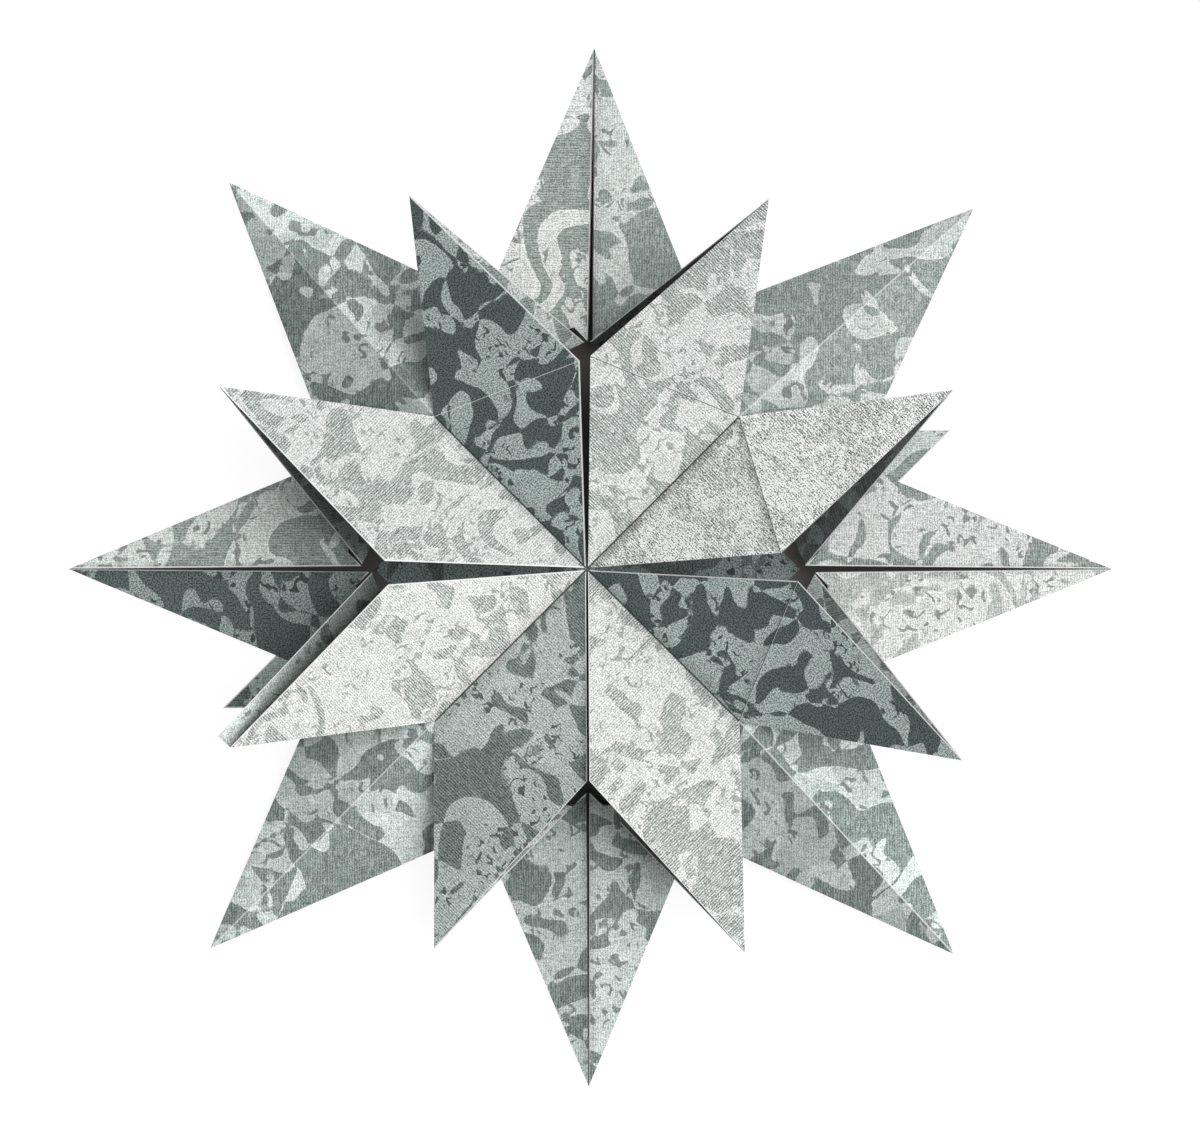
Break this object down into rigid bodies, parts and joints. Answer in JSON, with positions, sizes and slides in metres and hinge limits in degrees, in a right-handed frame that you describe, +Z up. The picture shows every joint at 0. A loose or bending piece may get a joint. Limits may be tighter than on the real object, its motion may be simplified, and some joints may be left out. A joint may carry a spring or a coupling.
{
  "type": "folded paper star",
  "caption": "Many-pointed wall or table star folded from square printed papers: flat kite points with a slit, ridged diagonal points and raised double-layer petals round the middle.",
  "frame": {"origin": "middle of the star, on the surface that it lies on", "axes": "+Z up out of the face of the star, +X towards the east point with the rear tab on its left, +Y towards the north point"},
  "size_m": [0.2264, 0.2253, 0.0337],
  "materials": {
    "point_paper": "uncoated printed paper, grey-green mottled print with linen lines",
    "petal_paper": "uncoated printed paper, pale grey-green mottled print with fine engraved hatch",
    "centre_paper": "uncoated printed paper, grey-green mottled print"
  },
  "bodies": {
    "root": {"centre_square": "centre_paper", "point_east": "point_paper", "point_north": "point_paper", "point_west": "point_paper", "point_south": "point_paper", "point_northeast": "petal_paper", "point_northwest": "petal_paper", "point_southwest": "petal_paper", "point_southeast": "petal_paper"}
  },
  "joints": []
}
